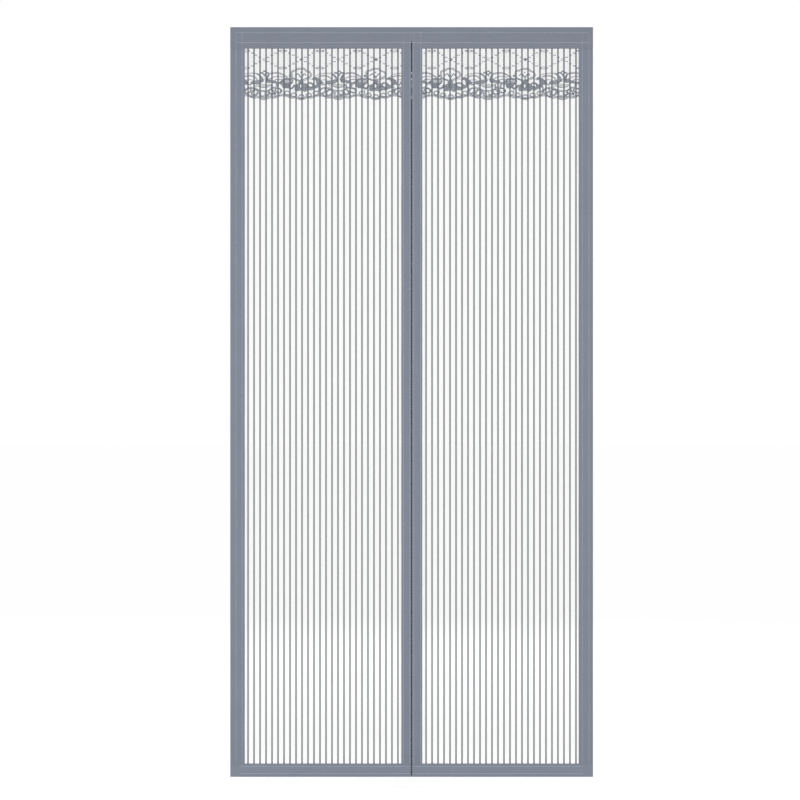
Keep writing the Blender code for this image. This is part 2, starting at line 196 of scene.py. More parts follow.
class Graph:
    """A material made of nodes round one Principled BSDF."""

    def __init__(self, name, roughness, sheen=0.0, specular=0.3, metallic=0.0):
        self.material = bpy.data.materials.new(name)
        self.material.use_nodes = True
        self.tree = self.material.node_tree
        self.shader = self.tree.nodes["Principled BSDF"]
        self.shader.inputs["Roughness"].default_value = roughness
        self.shader.inputs["Sheen Weight"].default_value = sheen
        self.shader.inputs["Specular IOR Level"].default_value = specular
        self.shader.inputs["Metallic"].default_value = metallic
        self.place = add_node(self.tree, "ShaderNodeTexCoord").outputs["Object"]

    def math(self, operation, first, second=0.0):
        return add_node(self.tree, "ShaderNodeMath", {0: first, 1: second}, operation=operation).outputs[0]

    def plus(self, first, second, share):
        """The first value and a share of the second."""
        return self.math("ADD", first, self.math("MULTIPLY", second, share))

    def noise(self, scale, detail=2.0):
        """Smooth noise; its scale is in waves a metre, one number or one for each axis."""
        inputs = {0: self.place, 1: scale if isinstance(scale, tuple) else (scale, scale, scale)}
        place = add_node(self.tree, "ShaderNodeVectorMath", inputs, operation="MULTIPLY").outputs[0]
        inputs = {"Vector": place, "Scale": 1.0, "Detail": detail}
        return add_node(self.tree, "ShaderNodeTexNoise", inputs).outputs["Fac"]

    def wave(self, axis, pitch):
        """A sine wave along one axis, from -1 to 1."""
        along = add_node(self.tree, "ShaderNodeSeparateXYZ", {0: self.place}).outputs[axis]
        return self.math("SINE", self.math("MULTIPLY", along, 2 * math.pi / pitch))

    def weave(self, pitch):
        """Waves along X and Z that cross."""
        return self.math("MULTIPLY", self.wave("X", pitch), self.wave("Z", pitch))

    def finish(self, colour, spread, tone, height, distance, strength):
        """Turns tone into a colour, a share darker to the same share lighter, and height into a bump."""
        mix = add_node(self.tree, "ShaderNodeMix", data_type="RGBA")
        for socket in mix.inputs:
            if socket.enabled and socket.name == "Factor":
                self.tree.links.new(tone, socket)
            elif socket.enabled:
                share = 1 - spread if socket.name == "A" else 1 + spread
                socket.default_value = (*(v * share for v in colour), 1.0)
        result = next(out for out in mix.outputs if out.enabled)
        self.tree.links.new(result, self.shader.inputs["Base Color"])
        inputs = {"Height": height, "Distance": distance, "Strength": strength}
        bump = add_node(self.tree, "ShaderNodeBump", inputs)
        self.tree.links.new(bump.outputs[0], self.shader.inputs["Normal"])
        return self.material


def cloth_material(name, colour, lengthwise):
    """Plain-woven tape: crossing threads, slubs along its length and soft creases."""
    graph = Graph(name, roughness=0.82, sheen=0.08, specular=0.2)
    weave = graph.weave(0.0006)
    along, across = (9.0, 320.0) if lengthwise == "X" else (320.0, 9.0)
    slubs = graph.noise((along, 300.0, across), 3.0)
    tone = graph.plus(graph.math("MULTIPLY", slubs, 0.5), graph.noise(14.0), 0.5)
    height = graph.plus(graph.math("MULTIPLY", weave, 0.35), graph.noise(60.0, 3.0), 2.0)
    return graph.finish(colour, 0.10, graph.plus(tone, weave, 0.10), height, 0.00012, 0.8)


def knit_material(name, colour, stitch, spread, roughness=0.85):
    """Knitted yarn: fine loops along each thread, and a tone that varies a little."""
    graph = Graph(name, roughness=roughness, sheen=0.05, specular=0.2)
    loops = graph.weave(stitch)
    tone = graph.plus(graph.noise(40.0, 3.0), loops, 0.15)
    return graph.finish(colour, spread, tone, loops, 0.00010, 0.7)


def pile_material(name, colour):
    """Brushed loop pile."""
    graph = Graph(name, roughness=0.95, sheen=0.25, specular=0.1)
    tufts = graph.noise(900.0, 3.0)
    return graph.finish(colour, 0.18, tufts, tufts, 0.0005, 0.9)


def tape_back_material(name, colour):
    """The adhesive back of hook tape: a smooth film over the tape's faint weave."""
    graph = Graph(name, roughness=0.45, specular=0.45)
    weave = graph.weave(0.0011)
    clouds = graph.noise((25.0, 25.0, 60.0), 3.0)
    tone = graph.plus(clouds, weave, 0.08)
    return graph.finish(colour, 0.08, tone, graph.math("ADD", weave, clouds), 0.00008, 0.5)


def rubber_material(name, colour):
    """Extruded magnetic rubber, matt, with a fine grain and lines along its length."""
    graph = Graph(name, roughness=0.7, specular=0.35)
    grain = graph.noise(1800.0)
    lines = graph.noise((900.0, 900.0, 6.0))
    both = graph.math("MULTIPLY", graph.math("ADD", grain, lines), 0.5)
    return graph.finish(colour, 0.15, both, both, 0.0002, 0.5)


def steel_material(name, colour):
    """Cold-rolled steel strip with rolling marks along it."""
    graph = Graph(name, roughness=0.38, specular=0.5, metallic=1.0)
    marks = graph.noise((8.0, 600.0, 1400.0), 3.0)
    return graph.finish(colour, 0.10, marks, marks, 0.00003, 0.6)


def seen_directly(tree):
    """1 for rays from the camera, for reflections and for what shows through glass, and otherwise 0."""
    path = add_node(tree, "ShaderNodeLightPath").outputs
    result = path["Is Camera Ray"]
    for other in ("Is Glossy Ray", "Is Transmission Ray"):
        inputs = {0: result, 1: path[other]}
        result = add_node(tree, "ShaderNodeMath", inputs, operation="MAXIMUM").outputs[0]
    return result


def from_to(tree, value, source, target, kind="LINEAR"):
    """The value mapped from its source range to a target range."""
    inputs = {"Value": value, "From Min": source[0], "From Max": source[1]}
    inputs.update({"To Min": target[0], "To Max": target[1]})
    return add_node(tree, "ShaderNodeMapRange", inputs, interpolation_type=kind).outputs["Result"]


def floor_material():
    """A pale floor that looks white to the camera and still takes shadows.

    Its lift falls a little away from the object, so that all of it is equally white.
    """
    material = bpy.data.materials.new("floor")
    material.use_nodes = True
    tree = material.node_tree
    tree.nodes.clear()
    place = add_node(tree, "ShaderNodeTexCoord").outputs["Object"]
    distance = add_node(tree, "ShaderNodeVectorMath", {0: place}, operation="LENGTH").outputs["Value"]
    lift = from_to(tree, distance, LIFT_DISTANCE, FLOOR_LIFT, "SMOOTHSTEP")
    strength = add_node(tree, "ShaderNodeMath", {0: seen_directly(tree), 1: lift}, operation="MULTIPLY")
    glow = add_node(tree, "ShaderNodeEmission", {"Strength": strength.outputs[0]})
    pale = (FLOOR_ALBEDO, FLOOR_ALBEDO, FLOOR_ALBEDO, 1.0)
    diffuse = add_node(tree, "ShaderNodeBsdfDiffuse", {"Color": pale})
    total = add_node(tree, "ShaderNodeAddShader", {0: diffuse.outputs[0], 1: glow.outputs[0]})
    add_node(tree, "ShaderNodeOutputMaterial", {"Surface": total.outputs[0]})
    return material


BINDING_COLOUR = srgb(131, 138, 151)
MATERIALS = {
    "header": cloth_material("header_cloth", srgb(130, 136, 149), "X"),
    # The hem is the same cloth as the bindings. Its lighter colour is painted light, making up for the shade
    # that falls low on the screen.
    "hem": cloth_material("hem_cloth_painted_lighter", srgb(135, 142, 156), "X"),
    "binding": cloth_material("binding_cloth", BINDING_COLOUR, "Z"),
    # The real stitch thread is about the cloth's grey. This pale colour is painted highlight, standing in for
    # the sheen along the stitches and tacks.
    "thread": knit_material("sewing_thread_painted_highlight", srgb(218, 225, 236), 0.0009, 0.08, 0.6),
    "stripe": knit_material("net_stripe", srgb(125, 130, 132), 0.0008, 0.08),
    "mesh": knit_material("net_thread", srgb(250, 251, 252), 0.0008, 0.03, 0.6),
    "lace": knit_material("lace_yarn", srgb(126, 132, 144), 0.0008, 0.10),
    "pile": pile_material("loop_pile", BINDING_COLOUR),
    "tape": tape_back_material("hook_tape_back", srgb(120, 127, 139)),
    "rubber": rubber_material("magnet_rubber", srgb(34, 39, 50)),
    "steel": steel_material("weight_steel", srgb(170, 172, 175)),
}


def new_object(name, data):
    item = bpy.data.objects.new(name, data)
    bpy.context.scene.collection.objects.link(item)
    return item


class Shape:
    """Collects points and faces that become one mesh."""

    def __init__(self):
        self.points = []
        self.faces = []
        self.slots = []
        self.count = 0

    def add(self, points, *faces, slot=0):
        """Adds points and one or more arrays of faces, which count from the first of these points."""
        for group in faces:
            self.faces.extend((np.asarray(group) + self.count).tolist())
            self.slots.extend([slot] * len(group))
        self.points.append(points.reshape(-1, 3))
        self.count += len(self.points[-1])

    def make(self, name, *finishes):
        mesh = bpy.data.meshes.new(name)
        mesh.from_pydata(np.concatenate(self.points).tolist(), [], self.faces)
        for material in finishes:
            mesh.materials.append(material)
        mesh.polygons.foreach_set("material_index", self.slots)
        mesh.shade_smooth()
        mesh.update()
        return new_object(name, mesh)


def xyz(x, y, z):
    """Points from their coordinates, which are arrays or numbers."""
    return np.stack(np.broadcast_arrays(x, y, z), axis=-1)


def ring_faces(lines, stations, sides, closed=False):
    """Faces of tubes whose points run line by line, station by station, corner by corner."""
    steps = stations if closed else stations - 1
    line, station, side = np.meshgrid(np.arange(lines), np.arange(steps), np.arange(sides), indexing="ij")
    first = line * stations * sides
    here, there = first + station * sides, first + (station + 1) % stations * sides
    after = (side + 1) % sides
    faces = np.stack([here + side, here + after, there + after, there + side], axis=-1)
    return faces.reshape(-1, 4)


def cap_faces(lines, stations, sides):
    """Faces that close both ends of the tubes that ring_faces makes."""
    first = np.arange(lines)[:, None] * stations * sides
    start = first + np.arange(sides)[::-1]
    end = first + (stations - 1) * sides + np.arange(sides)
    return np.concatenate([start, end])


def heading(lines, closed, axis):
    """Which way lines run at each of their points."""
    if closed:
        return np.roll(lines, -1, axis=axis) - np.roll(lines, 1, axis=axis)
    return np.gradient(lines, axis=axis)


def add_tubes(shape, lines, half_wide, half_deep, sides, closed=False, slot=0):
    """Adds a tube along each line of an array of lines x stations x 3. The lines run in X and Z.

    half_wide is a number, or one number for each station.
    """
    lines = np.asarray(lines, float)
    ahead = heading(lines, closed, 1)
    across = xyz(-ahead[..., 2], 0.0, ahead[..., 0])
    across /= np.maximum(np.linalg.norm(across, axis=-1, keepdims=True), 1e-12)
    angle = 2 * np.pi * (np.arange(sides) + 0.5) / sides
    corner = np.stack([np.sin(angle), np.cos(angle)])
    corner /= np.ptp(corner, axis=1, keepdims=True) / 2
    wide = np.broadcast_to(np.asarray(half_wide, float), lines.shape[:2])
    offset = (across[:, :, None, :] * (corner[0] * wide[..., None])[..., None]
              + np.array([0, 1.0, 0]) * (corner[1] * half_deep)[None, None, :, None])
    points = lines[:, :, None, :] + offset
    count, stations = lines.shape[:2]
    faces = [ring_faces(count, stations, sides, closed)]
    if not closed:
        faces.append(cap_faces(count, stations, sides))
    shape.add(points, *faces, slot=slot)


def ripple(along, *waves):
    """A sum of sine waves along a line; each is a length, a share and a phase in turns."""
    return sum(share * np.sin(2 * np.pi * (along / length + phase)) for length, share, phase in waves)


def belly(x, z):
    """How far the net and the lace stand forward of flat between the bindings."""
    across = np.clip((np.abs(x) - OPENING_IN) / (OPENING_OUT - OPENING_IN), 0, 1)
    down = np.clip((HEADER_EDGE - z) / (HEADER_EDGE - HEM_EDGE), 0, 1)
    swell = 0.6 * np.sin(2 * np.pi * (1.3 * down + 0.1)) + 0.4 * np.sin(
        2 * np.pi * (2.9 * down + 0.3 + 0.4 * across + 0.25 * np.sign(x)))
    ends = np.minimum(1, 6 * np.minimum(down, 1 - down))
    return BELLY * np.sin(np.pi * across) * swell * ends


def spaced(start, end, step, extra=()):
    """Values from start to end about a step apart, with the extra values exactly among them."""
    fixed = sorted({start, end, *(v for v in extra if start < v < end)})
    values = []
    for low, high in zip(fixed, fixed[1:]):
        parts = max(1, round((high - low) / step))
        values += [low + (high - low) * part / parts for part in range(parts)]
    values.append(fixed[-1])
    return np.array(values)


def beside(rows):
    """Places on and beside each row of stitches, where the cloth dips."""
    return [row + shift for row in rows for shift in (-0.0016, -0.0007, 0.0, 0.0007, 0.0016)]


def relief(across, along, rows, low, high):
    """How far cloth stands out: it dips and puckers at each row of stitches and swells between them."""
    total = np.zeros(np.broadcast(across, along).shape)
    for number, row in enumerate(rows):
        near = (across - row) / GROOVE_WIDTH
        total -= GROOVE * np.exp(-near ** 2)
        waves = ripple(along, (0.013, 0.5, 0.13 * number), (0.0187, 0.3, 0.4), (0.031, 0.4, 0.27 * number))
        total += PUCKER * waves * np.exp(-((across - row) / PUCKER_WIDTH) ** 2)
    lines = sorted({low, high, *rows})
    for first, second in zip(lines, lines[1:]):
        inside = np.clip((across - first) / (second - first), 0, 1)
        size = PILLOW * min(1, (second - first) / 0.012)
        swell = 1 + 0.4 * ripple(along, (0.19, 0.6, 0.2), (0.071, 0.4, 0.6))
        total += size * np.sin(np.pi * inside) * swell
    return total


def thicken(piece, thickness):
    """Gives a sheet its thickness, half to each side, and keeps its edges crisp."""
    solid = piece.modifiers.new("thickness", "SOLIDIFY")
    solid.thickness = thickness
    solid.offset = 0
    graph = bpy.context.evaluated_depsgraph_get()
    mesh = bpy.data.meshes.new_from_object(piece.evaluated_get(graph))
    mesh.set_sharp_from_angle(angle=math.radians(50))
    piece.modifiers.clear()
    piece.data = mesh


def grid_sheet(name, points, material, hole=None):
    """A sheet over a grid of points, stations x columns x 3, without the cells that hole marks."""
    stations, columns = points.shape[:2]
    row, column = np.meshgrid(np.arange(stations - 1), np.arange(columns - 1), indexing="ij")
    here = row * columns + column
    faces = np.stack([here, here + 1, here + columns + 1, here + columns], axis=-1)
    if hole is not None:
        faces = faces[~hole]
    shape = Shape()
    shape.add(points, faces.reshape(-1, 4))
    piece = shape.make(name, material)
    thicken(piece, CLOTH)
    return piece


def folded_profile(depth, back, front, rows):
    """The middle line of cloth folded in two, from the front's open edge round to the back's.

    It gives each column's distance from the fold, its Y and how far it faces the front, from 1 to -1.
    """
    front_middle, back_middle = front + CLOTH / 2, back - CLOTH / 2
    leaf = spaced(FOLD_CORNER + CLOTH / 2, depth, COLUMN, beside(rows))
    turn = np.linspace(0, math.pi / 2, FOLD_STEPS + 1)[1:]
    corner = FOLD_CORNER * (1 - np.cos(turn))
    inset = leaf[0] - FOLD_CORNER * np.sin(turn)
    away = np.concatenate([leaf[::-1], inset, inset[::-1], leaf])
    level = np.concatenate([
        np.full(len(leaf), front_middle),
        front_middle + corner,
        back_middle - corner[::-1],
        np.full(len(leaf), back_middle)])
    facing = np.concatenate([np.ones(len(leaf)), np.cos(turn), -np.cos(turn)[::-1], -np.ones(len(leaf))])
    return away, level, facing


def dress(piece, slot, *nodes):
    """The piece rides on the screen and stands for its solids; its slot is not used."""
    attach(piece, "root")
    if nodes:
        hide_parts(*nodes)


def make_header():
    depth = TOP - HEADER_EDGE
    rows = [TOP - row for row in HEADER_ROWS]
    away, level, facing = folded_profile(depth, HEADER_BACK, FRONT, [*rows, TOP - SLIT_TOP])
    slit = (-SLIT_EDGE["left"], SLIT_EDGE["right"])
    along = spaced(-HALF, HALF, STATION, slit)[:, None]
    out = relief(away, along, rows, 0.0, depth)
    sag = EDGE_WAVE * ripple(along, (0.31, 0.5, 0.1), (0.12, 0.3, 0.45), (0.052, 0.2, 0.7))
    points = xyz(along, level - facing * out, TOP - away - sag * (away / depth))
    middle = (along[:-1] + along[1:]) / 2
    low = (away[:-1] + away[1:]) / 2
    notch = (middle > slit[0]) & (middle < slit[1]) & (low > TOP - SLIT_TOP) & (facing[:-1] > 0.99)
    piece = grid_sheet("header_cloth", points, MATERIALS["header"], notch)
    dress(piece, "binding_cloth", "header_binding")


def make_outer_binding(side, sign):
    low, high = BOX[side + "_outer_binding"]
    depth = HALF - OUTER_EDGE[side]
    rows = [HALF - row for row in OUTER_ROWS[side]]
    away, level, facing = folded_profile(depth, BINDING_BACK, BINDING_FRONT, rows)
    along = spaced(low.z, high.z, STATION)[:, None]
    out = relief(away, along, rows, 0.0, depth)
    wave = EDGE_WAVE * ripple(along, (0.43, 0.5, 0.3), (0.17, 0.3, 0.15), (0.068, 0.2, 0.5))
    points = xyz(sign * (HALF - away - wave * (0.3 + 0.7 * away / depth)), level - facing * out, along)
    piece = grid_sheet(side + "_outer_cloth", points[:, ::sign], MATERIALS["binding"])
    dress(piece, "binding_cloth", side + "_outer_binding")


def make_inner_binding(side, sign):
    """The two leaves of cloth beside the slit, which hold the magnets between them."""
    for leaf, facing in (("front", 1), ("back", -1)):
        node = f"{side}_inner_binding_{leaf}"
        low, high = BOX[node]
        near, far = SLIT_EDGE[side], INNER_EDGE[side]
        across = spaced(near, far, COLUMN, beside(INNER_ROWS[side]))
        along = spaced(low.z, high.z, STATION)[:, None]
        out = relief(across, along, INNER_ROWS[side], near, far)
        wave = EDGE_WAVE * ripple(along, (0.39, 0.5, 0.6), (0.15, 0.3, 0.35), (0.061, 0.2, 0.2))
        x = sign * (across + wave * (across - near) / (far - near))
        points = xyz(x, (low.y + high.y) / 2 - facing * out, along)
        order = sign * facing
        piece = grid_sheet(f"{side}_inner_cloth_{leaf}", points[:, ::order], MATERIALS["binding"])
        dress(piece, "binding_cloth", node)


def make_hem(side, sign):
    rows = [row - BOTTOM for row in HEM_ROWS]
    away, level, facing = folded_profile(HEM_DEPTH, HEADER_BACK, FRONT, rows)
    along = np.sort(sign * spaced(SLIT_EDGE[side], HALF, STATION))[:, None]
    out = relief(away, along, rows, 0.0, HEM_DEPTH)
    wave = EDGE_WAVE * ripple(along, (0.27, 0.5, 0.2), (0.11, 0.3, 0.55), (0.047, 0.2, 0.9))
    points = xyz(along, level - facing * out, BOTTOM + away + wave * (0.3 + 0.7 * away / HEM_DEPTH))
    inner = 0 if sign > 0 else -1
    points[inner, away < HEM_TOE, 0] = sign * MAGNET_GAP
    piece = grid_sheet(side + "_hem_cloth_painted_lighter", points[:, ::-1], MATERIALS["hem"])
    dress(piece, "binding_cloth", side + "_hem_binding")


def add_stitches(shape, start, end, level, facing):
    """Adds a row of stitches between two places (x, z) on a face whose Y is level."""
    start, end = np.array(start), np.array(end)
    length = np.linalg.norm(end - start)
    count = int(length / STITCH_PITCH)
    ahead = (end - start) / length
    across = np.array([-ahead[1], ahead[0]])
    place = (np.arange(count) + 0.5) * length / count
    centre = start + ahead * place[:, None]
    slant = STITCH_SLANT * np.sin(place * SLANT_CHANGE)
    reach, shoulder = STITCH_LENGTH / 2, STITCH_LENGTH / 2 * STITCH_SHOULDER
    sunk = level + facing * GROOVE * STITCH_SUNK
    thick, thin = ((0, 1), (1, 0), (0, -1), (-1, 0)), ((0, 0),)
    sections = []
    for station, corners in ((-reach, thin), (-shoulder, thick), (shoulder, thick), (reach, thin)):
        lean = slant * station / reach
        spot = centre + ahead * station + across * lean[:, None]
        depth = sunk + (facing * (STITCH_RADIUS * STITCH_DIP) if corners is thin else 0.0)
        for wide, deep in corners:
            flat = spot + across * wide * STITCH_RADIUS
            sections.append(xyz(flat[:, 0], depth + deep * STITCH_RADIUS, flat[:, 1]))
    points = np.stack(sections, axis=1)
    first = [(0, 1 + (k + 1) % 4, 1 + k) for k in range(4)]
    last = [(9, 5 + k, 5 + (k + 1) % 4) for k in range(4)]
    sides = [(1 + k, 1 + (k + 1) % 4, 5 + (k + 1) % 4, 5 + k) for k in range(4)]
    base = np.arange(count)[:, None, None] * 10
    shape.add(points, (base + np.array(first + last)).reshape(-1, 3), (base + np.array(sides)).reshape(-1, 4))


def stitch_along(shape, rows, start, end):
    """Rows of stitches along X, on both faces of the header or of a hem."""
    for row in rows:
        for level, facing in ((FRONT, 1), (HEADER_BACK, -1)):
            add_stitches(shape, (start, row), (end, row), level, facing)


def stitch_up(shape, sign, rows, low, high, level, facing):
    """Upright rows of stitches on one face."""
    for row in rows:
        add_stitches(shape, (sign * row, low), (sign * row, high), level, facing)


def make_stitching():
    """Every row of stitches, as short lengths of thread that stand a little out of the cloth."""
    header = Shape()
    stitch_along(header, HEADER_ROWS, -HEADER_ROW_END, HEADER_ROW_END)
    for side, sign in SIDES.items():
        rows = (*OUTER_ROWS[side], *INNER_ROWS[side])
        stitch_up(header, sign, rows, HEADER_EDGE, HEADER_ROWS[0], FRONT, 1)
    dress(header.make("header_stitches", MATERIALS["thread"]), "binding_cloth")
    for side, sign in SIDES.items():
        binding = Shape()
        rows = (*OUTER_ROWS[side], *INNER_ROWS[side])
        stitch_up(binding, sign, rows, HEM_EDGE, HEADER_EDGE, BINDING_FRONT, 1)
        stitch_up(binding, sign, rows[1:], HEM_EDGE, HEADER_EDGE, BINDING_BACK, -1)
        dress(binding.make(side + "_binding_stitches", MATERIALS["thread"]), "binding_cloth")
        hem = Shape()
        stitch_along(hem, HEM_ROWS, sign * HEM_ROW_START, sign * HEM_ROW_END)
        dress(hem.make(side + "_hem_stitches", MATERIALS["thread"]), "binding_cloth")


def make_net(side, sign):
    """Dense stripes and, between them, a mesh of fine threads."""
    low, high = BOX[side + "_net_panel"]
    level = (low.y + high.y) / 2
    near, far = sorted((abs(low.x), abs(high.x)))
    shape = Shape()
    stripes = FIRST_STRIPE + STRIPE_SHIFT[side] + STRIPE_PITCH * np.arange(STRIPES)
    down = np.linspace(high.z, low.z, 25)
    x, z = np.meshgrid(sign * stripes, down, indexing="ij")
    corners = stripe_section()
    centre = xyz(x, level - belly(x, z), z)
    points = centre[:, :, None, :] + corners[None, None, :, :]
    layout = (STRIPES, len(down), len(corners))
    shape.add(points, ring_faces(*layout)[:, ::-1], cap_faces(*layout)[:, ::-1])
    edges = [near, *np.repeat(stripes, 2) + np.tile((-STRIPE_WIDTH / 2, STRIPE_WIDTH / 2), STRIPES), far]
    threads = []
    pitch = (STRIPE_PITCH - STRIPE_WIDTH) / (THREADS_IN_GAP + 1)
    for start, end in zip(edges[::2], edges[1::2]):
        inner = max(1, round((end - start) / pitch) - 1)
        threads += [start + (end - start) * (k + 1) / (inner + 1) for k in range(inner)]
    x, z = np.meshgrid(sign * np.array(threads), down, indexing="ij")
    lines = xyz(x, level - belly(x, z) + THREAD / 2, z)
    add_tubes(shape, lines, THREAD / 2, THREAD / 2, 3, slot=1)
    rows = np.arange(low.z + CROSS_PITCH / 2, high.z, CROSS_PITCH)
    over = sign * np.linspace(near, far, 11)
    z, x = np.meshgrid(rows, over, indexing="ij")
    lines = xyz(x, level - belly(x, z) - THREAD / 2, z)
    add_tubes(shape, lines, THREAD / 2, THREAD / 2, 3, slot=1)
    piece = shape.make(side + "_net", MATERIALS["stripe"], MATERIALS["mesh"])
    dress(piece, "striped_net", side + "_net_panel")


def stripe_section():
    """Outline of a stripe in X and Y: a row of cords side by side, seen from above."""
    steps = 2 * STRIPE_CORDS + 1
    across = np.linspace(-STRIPE_WIDTH / 2, STRIPE_WIDTH / 2, steps)
    bulge = np.where(np.arange(steps) % 2 == 1, CORD_DEPTH, CORD_DEPTH * VALLEY_SHARE)
    bulge[[0, -1]] = CORD_DEPTH * RIM_SHARE
    return np.concatenate([xyz(across, -bulge, 0.0), xyz(across[::-1], bulge[::-1], 0.0)])


def make_tapes():
    """The loop tape sewn on each binding's back, and the hook tape that sticks to the door frame."""
    for name in ("header", "left", "right"):
        for kind, material in (("loop", "pile"), ("hook", "tape")):
            node = f"{name}_{kind}_tape"
            low, high = BOX[node]
            piece = tape(f"{name}_{kind}_strip", low, high, MATERIALS[material], kind)
            dress(piece, kind + "_tape", node)


def tape(name, low, high, material, kind):
    """A strip whose woven edges are thinner than its pile, with softly rounded corners."""
    along, across = (0, 2) if high.x - low.x > high.z - low.z else (2, 0)
    half_long, half_wide = (high[along] - low[along]) / 2, (high[across] - low[across]) / 2
    face, back = (low.y, high.y) if kind == "loop" else (high.y, low.y)
    rise = np.sign(back - face)
    thin = face + rise * (high.y - low.y) * TAPE_EDGE_SHARE
    inner = half_wide - TAPE_EDGE
    right = [(half_wide, face), (half_wide, thin), (inner, thin)]
    right += [(inner - step, back - rise * down) for step, down in TAPE_SHOULDER]
    profile = np.array([(-half_wide, face), *right, *((-x, y) for x, y in right[:0:-1])])
    stations = spaced(-half_long, half_long, 0.02)
    middle = (low + high) / 2
    points = np.zeros((len(stations), len(profile), 3))
    points[..., along] = middle[along] + stations[:, None]
    points[..., across] = middle[across] + profile[:, 0]
    points[..., 1] = profile[:, 1]
    layout = (1, len(stations), len(profile))
    faces, caps = ring_faces(*layout), cap_faces(*layout)
    if (along == 0) == (rise > 0):
        faces, caps = faces[:, ::-1], caps[:, ::-1]
    shape = Shape()
    shape.add(points, faces, caps)
    piece = shape.make(name, material)
    piece.data.set_sharp_from_angle(angle=math.radians(40))
    return piece


def smooth(points, closed=False, step=0.7):
    """Points about a step apart on a smooth curve through the given ones."""
    points = np.array(points, float)
    if closed:
        points = np.concatenate([points[-1:], points, points[:2]])
    else:
        points = np.concatenate([[2 * points[0] - points[1]], points, [2 * points[-1] - points[-2]]])
    result = []
    for a, b, c, d in zip(points, points[1:], points[2:], points[3:]):
        parts = max(1, round(float(np.linalg.norm(c - b)) / step))
        t = (np.arange(parts) / parts)[:, None]
        result.append(0.5 * (2 * b + (c - a) * t + (2 * a - 5 * b + 4 * c - d) * t ** 2
                             + (3 * b - a - 3 * c + d) * t ** 3))
    if not closed:
        result.append(points[-2:-1])
    return np.concatenate(result)


def oval(u, v, wide, high, tilt=0.0, steps=14):
    """Points round an oval; tilt turns it, in degrees, from its wide axis."""
    turn = math.radians(tilt)
    ring = []
    for step in range(steps):
        angle = 2 * math.pi * step / steps
        a, b = wide * math.cos(angle), high * math.sin(angle)
        x, y = a * math.cos(turn) - b * math.sin(turn), a * math.sin(turn) + b * math.cos(turn)
        ring.append((u + x, v + y))
    return ring


def from_motif(u):
    """How far u is from the middle of the nearest motif."""
    return np.abs((u + HALF_REPEAT / 2) % HALF_REPEAT - HALF_REPEAT / 2)


def edge_depth(u):
    """The scalloped lower edge: a deep lobe under each motif, between two small ones."""
    return np.interp(from_motif(u), *EDGE_LOBES)


